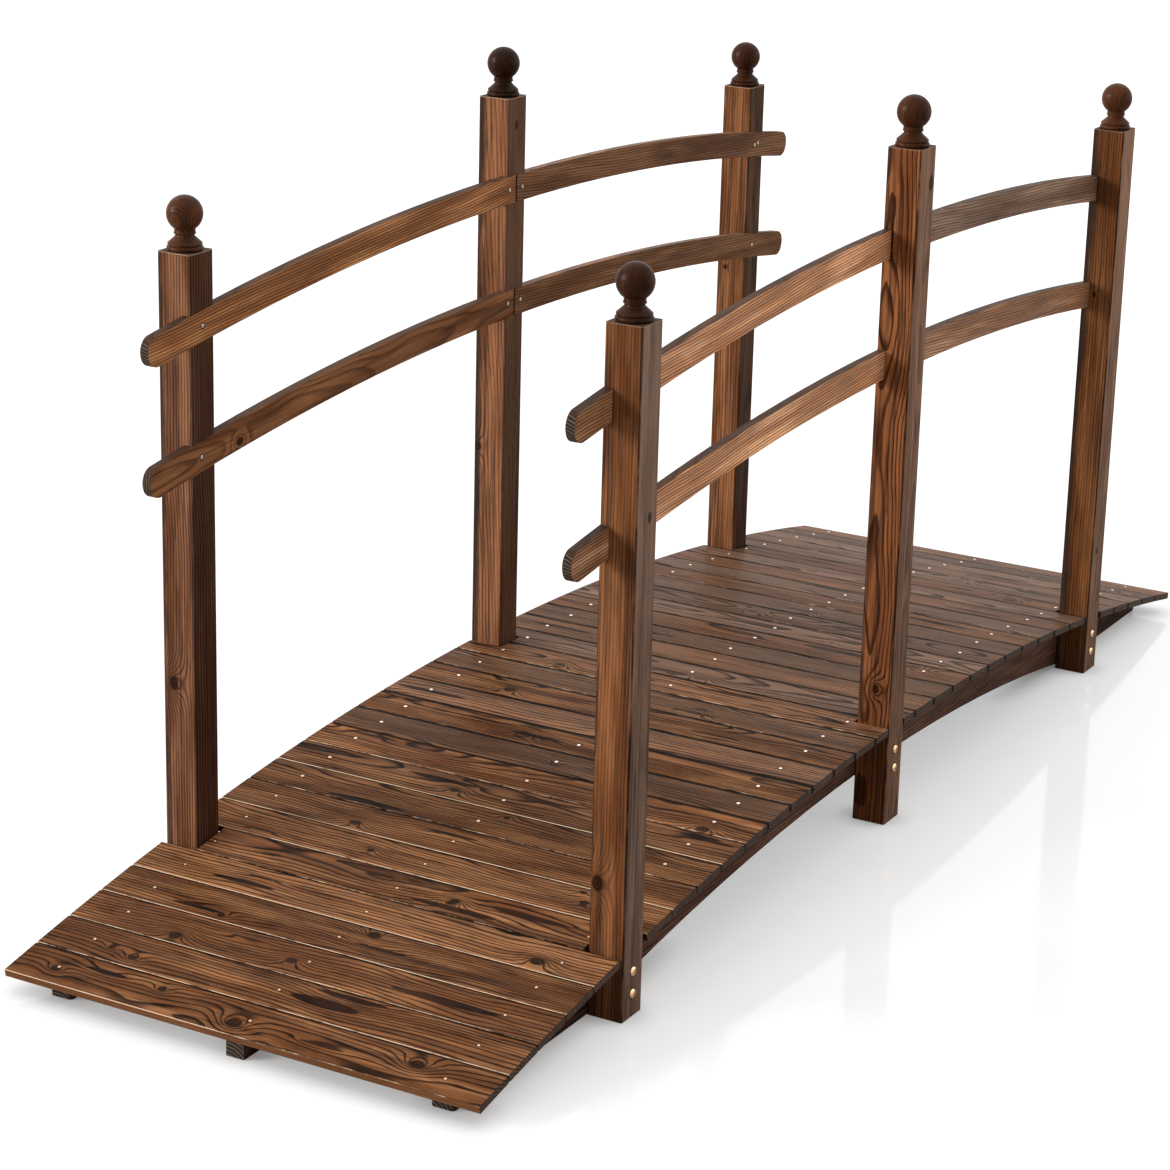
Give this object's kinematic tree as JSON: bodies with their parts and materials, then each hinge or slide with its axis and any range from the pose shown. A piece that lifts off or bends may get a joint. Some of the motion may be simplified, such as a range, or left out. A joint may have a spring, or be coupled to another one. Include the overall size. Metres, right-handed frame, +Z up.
{
  "type": "arched garden bridge",
  "caption": "Low arched wooden garden bridge with a plank deck on bowed beams, square posts, curved double rails and turned ball finials.",
  "frame": {"origin": "on the ground under the crown of the bridge, midway between the middle posts", "axes": "+X along the bridge towards the rear end, +Y across it towards the left side, +Z up"},
  "size_m": [2.1756, 0.666, 1.0011],
  "materials": {
    "post_wood": "dark stained fir with strong grain, satin varnish",
    "finial_wood": "dark stained turned fir, satin varnish",
    "rail_wood": "brown stained fir with strong grain, satin varnish",
    "beam_wood": "dark stained fir, matt",
    "deck_wood": "brown stained fir with charred grain and knots, satin varnish",
    "bolt_metal": "polished plating",
    "nail_metal": "bright"
  },
  "bodies": {
    "root": {"post_left_front": "post_wood", "post_left_middle": "post_wood", "post_left_rear": "post_wood", "post_right_front": "post_wood", "post_right_middle": "post_wood", "post_right_rear": "post_wood", "finial_left_front": "finial_wood", "finial_left_middle": "finial_wood", "finial_left_rear": "finial_wood", "finial_right_front": "finial_wood", "finial_right_middle": "finial_wood", "finial_right_rear": "finial_wood", "rail_upper_left_front": "rail_wood", "rail_upper_left_rear": "rail_wood", "rail_upper_right_front": "rail_wood", "rail_upper_right_rear": "rail_wood", "rail_lower_left_front": "rail_wood", "rail_lower_left_rear": "rail_wood", "rail_lower_right_front": "rail_wood", "rail_lower_right_rear": "rail_wood", "beam_left": "beam_wood", "beam_centre": "beam_wood", "beam_right": "beam_wood", "deck_front_end": "deck_wood", "deck_front_post_board": "deck_wood", "deck_front_span": "deck_wood", "deck_middle_boards": "deck_wood", "deck_rear_span": "deck_wood", "deck_rear_post_board": "deck_wood", "deck_rear_end": "deck_wood"}
  },
  "joints": []
}
